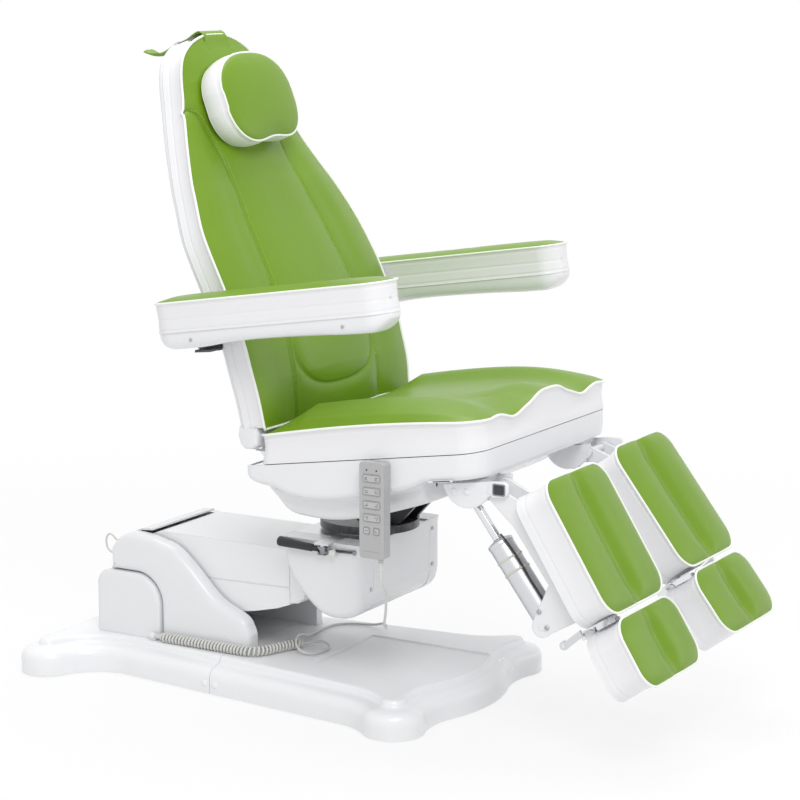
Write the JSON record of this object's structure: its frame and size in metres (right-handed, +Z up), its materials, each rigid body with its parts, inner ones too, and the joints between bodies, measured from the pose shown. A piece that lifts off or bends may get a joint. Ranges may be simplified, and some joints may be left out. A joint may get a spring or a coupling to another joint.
{
  "type": "podiatry chair",
  "caption": "Padded treatment chair on a moulded base: parallel lifting arm, swivelling tilting seat, reclining back, level armrests, two separate leg rests with foot pads, and a handset.",
  "frame": {"origin": "on the floor, at mid width, straight below the axis on which the backrest reclines", "axes": "+Z up; -Y towards the leg rests, so +Y towards the rear of the base; -X is the side of the handset"},
  "size_m": [0.828, 1.5462, 1.3924],
  "materials": {
    "white": "gloss",
    "green": "satin",
    "steel": "satin",
    "dark": "matte",
    "pale": "matte",
    "rubber": "matte",
    "dark_metal": "satin",
    "chrome": "polished"
  },
  "bodies": {
    "base": {"base_frame": "steel", "levelling_feet": "rubber", "front_base_cover": "white", "rear_base_cover": "white", "near_housing_cover": "white", "far_housing_cover": "white", "rear_housing_cover": "white", "control_box": "dark", "rear_cable": "pale", "curly_cord": "pale", "lower_cord": "pale"},
    "lift_actuator": {"lift_actuator_tube": "dark_metal"},
    "lift_rod": {"lift_actuator_rod": "chrome"},
    "lift_arm": {"lift_arm": "steel", "arm_cover": "white"},
    "links": {"parallel_links": "steel"},
    "head": {"head_frame": "steel", "near_head_cover": "white", "far_head_cover": "white", "head_front_plate": "white"},
    "swivel_lock": {"swivel_lever": "dark"},
    "swivel": {"swivel_plate": "dark_metal"},
    "seat": {"seat_frame": "steel", "seat_shell": "white", "seat_cushion": "green", "handset_body": "pale", "drop_cord": "pale"},
    "back": {"back_frame": "steel", "back_cushion": "green", "back_shell": "white", "head_strap": "green"},
    "pillow": {"head_pillow": "green"},
    "near_rest_bracket": {"near_armrest_bracket": "steel"},
    "far_rest_bracket": {"far_armrest_bracket": "steel"},
    "near_armrest": {"near_armrest_cushion": "green", "near_armrest_shell": "white"},
    "far_armrest": {"far_armrest_cushion": "green", "far_armrest_shell": "white"},
    "near_leg_bracket": {"near_leg_bracket": "white"},
    "near_leg": {"near_leg_frame": "white", "near_calf_cushion": "green"},
    "near_foot_carriage": {"near_foot_carriage": "steel"},
    "near_foot": {"near_foot_cushion": "green"},
    "near_foot_lever": {"near_foot_lever": "dark"},
    "near_leg_actuator": {"near_leg_actuator_tube": "chrome"},
    "near_leg_rod": {"near_leg_actuator_rod": "chrome"},
    "far_leg_bracket": {"far_leg_bracket": "white"},
    "far_leg": {"far_leg_frame": "white", "far_calf_cushion": "green"},
    "far_foot_carriage": {"far_foot_carriage": "steel"},
    "far_foot": {"far_foot_cushion": "green"},
    "far_foot_lever": {"far_foot_lever": "dark"},
    "far_leg_actuator": {"far_leg_actuator_tube": "chrome"},
    "far_leg_rod": {"far_leg_actuator_rod": "chrome"},
    "lift_key": {"lift_key": "pale"},
    "recline_key": {"recline_key": "pale"},
    "tilt_key": {"tilt_key": "pale"},
    "leg_key": {"leg_key": "pale"},
    "flat_key": {"flat_key": "pale"},
    "entry_key": {"entry_key": "pale"}
  },
  "joints": [
    {"name": "lift", "type": "hinge", "parent": "base", "child": "lift_arm", "pos_m": [0, 0.33, 0.226], "axis": [-1, 0, 0], "range_deg": [0, 40], "deforming": ["drop_cord"]},
    {"name": "links_swing", "type": "hinge", "parent": "base", "child": "links", "pos_m": [0, 0.33, 0.174], "axis": [-1, 0, 0], "range_deg": [0, 40]},
    {"name": "head_level", "type": "hinge", "parent": "lift_arm", "child": "head", "pos_m": [0, -0.06, 0.262], "axis": [-1, 0, 0], "range_deg": [-40, 0]},
    {"name": "lift_actuator_swing", "type": "hinge", "parent": "base", "child": "lift_actuator", "pos_m": [0, 0.3, 0.118], "axis": [-1, 0, 0], "range_deg": [0, 33.6]},
    {"name": "lift_rod_slide", "type": "slide", "parent": "lift_actuator", "child": "lift_rod", "axis": [0, -0.8917, 0.4526], "range_m": [0, 0.0677]},
    {"name": "swivel_lock_turn", "type": "hinge", "parent": "head", "child": "swivel_lock", "pos_m": [-0.183, -0.122, 0.338], "axis": [0, 0, 1], "range_deg": [0, 35]},
    {"name": "swivel_turn", "type": "hinge", "parent": "head", "child": "swivel", "pos_m": [0, -0.125, 0.36], "axis": [0, 0, 1], "range_deg": [-90, 120], "deforming": ["drop_cord"]},
    {"name": "seat_tilt", "type": "hinge", "parent": "swivel", "child": "seat", "pos_m": [0, -0.26, 0.45], "axis": [-1, 0, 0], "range_deg": [-8.5, 4], "deforming": ["drop_cord"]},
    {"name": "recline", "type": "hinge", "parent": "seat", "child": "back", "pos_m": [0, 0, 0.554], "axis": [-1, 0, 0], "range_deg": [0, 58]},
    {"name": "pillow_slide", "type": "slide", "parent": "back", "child": "pillow", "axis": [0, 0.3507, 0.9365], "range_m": [-0.005, 0.045]},
    {"name": "near_rest_level", "type": "hinge", "parent": "back", "child": "near_rest_bracket", "pos_m": [-0.31, 0.106, 0.787], "axis": [-1, 0, 0], "range_deg": [-58, 0]},
    {"name": "near_armrest_fold", "type": "hinge", "parent": "near_rest_bracket", "child": "near_armrest", "pos_m": [-0.31, 0.106, 0.787], "axis": [-1, 0, 0], "range_deg": [0, 80]},
    {"name": "near_leg_spread", "type": "hinge", "parent": "seat", "child": "near_leg_bracket", "pos_m": [-0.217, -0.505, 0.5392], "axis": [0, -0.1478, -0.989], "range_deg": [0, 25]},
    {"name": "near_knee", "type": "hinge", "parent": "near_leg_bracket", "child": "near_leg", "pos_m": [-0.217, -0.55, 0.525], "axis": [-1, 0, 0], "range_deg": [-5, 62]},
    {"name": "near_leg_actuator_swing", "type": "hinge", "parent": "near_leg", "child": "near_leg_actuator", "pos_m": [-0.217, -0.66719, 0.26641], "axis": [-1, 0, 0], "range_deg": [-6.2, 0.5]},
    {"name": "near_leg_rod_slide", "type": "slide", "parent": "near_leg_actuator", "child": "near_leg_rod", "axis": [0, 0.6028, 0.7979], "range_m": [-0.0046, 0.0559]},
    {"name": "near_foot_slide", "type": "slide", "parent": "near_leg", "child": "near_foot_carriage", "axis": [0, -0.5299, -0.848], "range_m": [0, 0.08]},
    {"name": "near_foot_tilt", "type": "hinge", "parent": "near_foot_carriage", "child": "near_foot", "pos_m": [-0.1555, -0.75037, 0.254], "axis": [1, 0, 0], "range_deg": [0, 30]},
    {"name": "near_foot_lever_turn", "type": "hinge", "parent": "near_foot_carriage", "child": "near_foot_lever", "pos_m": [-0.29, -0.73595, 0.24971], "axis": [1, 0, 0], "range_deg": [0, 35]},
    {"name": "far_rest_level", "type": "hinge", "parent": "back", "child": "far_rest_bracket", "pos_m": [0.31, 0.106, 0.787], "axis": [-1, 0, 0], "range_deg": [-58, 0]},
    {"name": "far_armrest_fold", "type": "hinge", "parent": "far_rest_bracket", "child": "far_armrest", "pos_m": [0.31, 0.106, 0.787], "axis": [-1, 0, 0], "range_deg": [0, 80]},
    {"name": "far_leg_spread", "type": "hinge", "parent": "seat", "child": "far_leg_bracket", "pos_m": [0.217, -0.505, 0.5392], "axis": [0, 0.1478, 0.989], "range_deg": [0, 25]},
    {"name": "far_knee", "type": "hinge", "parent": "far_leg_bracket", "child": "far_leg", "pos_m": [0.217, -0.55, 0.525], "axis": [-1, 0, 0], "range_deg": [-10, 57]},
    {"name": "far_leg_actuator_swing", "type": "hinge", "parent": "far_leg", "child": "far_leg_actuator", "pos_m": [0.217, -0.69101, 0.27858], "axis": [-1, 0, 0], "range_deg": [-5.7, 1]},
    {"name": "far_leg_rod_slide", "type": "slide", "parent": "far_leg_actuator", "child": "far_leg_rod", "axis": [0, 0.6716, 0.7409], "range_m": [-0.0091, 0.0514]},
    {"name": "far_foot_slide", "type": "slide", "parent": "far_leg", "child": "far_foot_carriage", "axis": [0, -0.6074, -0.7944], "range_m": [0, 0.08]},
    {"name": "far_foot_tilt", "type": "hinge", "parent": "far_foot_carriage", "child": "far_foot", "pos_m": [0.1555, -0.77498, 0.27406], "axis": [1, 0, 0], "range_deg": [0, 30]},
    {"name": "far_foot_lever_turn", "type": "hinge", "parent": "far_foot_carriage", "child": "far_foot_lever", "pos_m": [0.29, -0.76103, 0.26843], "axis": [1, 0, 0], "range_deg": [0, 35]},
    {"name": "lift_key_press", "type": "hinge", "parent": "seat", "child": "lift_key", "pos_m": [-0.3255, -0.326, 0.53699], "axis": [0, 0, 1], "range_deg": [-2.5, 2.5], "stiffness_Nm_per_rad": 0.05},
    {"name": "recline_key_press", "type": "hinge", "parent": "seat", "child": "recline_key", "pos_m": [-0.3255, -0.326, 0.5108], "axis": [0, 0, 1], "range_deg": [-2.5, 2.5], "stiffness_Nm_per_rad": 0.05},
    {"name": "tilt_key_press", "type": "hinge", "parent": "seat", "child": "tilt_key", "pos_m": [-0.3255, -0.326, 0.48364], "axis": [0, 0, 1], "range_deg": [-2.5, 2.5], "stiffness_Nm_per_rad": 0.05},
    {"name": "leg_key_press", "type": "hinge", "parent": "seat", "child": "leg_key", "pos_m": [-0.3255, -0.326, 0.45745], "axis": [0, 0, 1], "range_deg": [-2.5, 2.5], "stiffness_Nm_per_rad": 0.05},
    {"name": "flat_key_press", "type": "slide", "parent": "seat", "child": "flat_key", "axis": [1, 0, 0], "range_m": [0, 0.001], "stiffness_N_per_m": 800},
    {"name": "entry_key_press", "type": "slide", "parent": "seat", "child": "entry_key", "axis": [1, 0, 0], "range_m": [0, 0.001], "stiffness_N_per_m": 800}
  ],
  "couplings": [
    {"joint": "links_swing", "follows": "lift", "ratio": 1},
    {"joint": "head_level", "follows": "lift", "ratio": -1},
    {"joint": "lift_actuator_swing", "follows": "lift", "ratio": 0.84},
    {"joint": "lift_rod_slide", "follows": "lift", "m_per_rad": 0.09697},
    {"joint": "near_rest_level", "follows": "recline", "ratio": -1},
    {"joint": "near_leg_actuator_swing", "follows": "near_knee", "ratio": -0.1},
    {"joint": "near_leg_rod_slide", "follows": "near_knee", "m_per_rad": 0.05157},
    {"joint": "far_rest_level", "follows": "recline", "ratio": -1},
    {"joint": "far_leg_actuator_swing", "follows": "far_knee", "ratio": -0.1},
    {"joint": "far_leg_rod_slide", "follows": "far_knee", "m_per_rad": 0.05157}
  ]
}
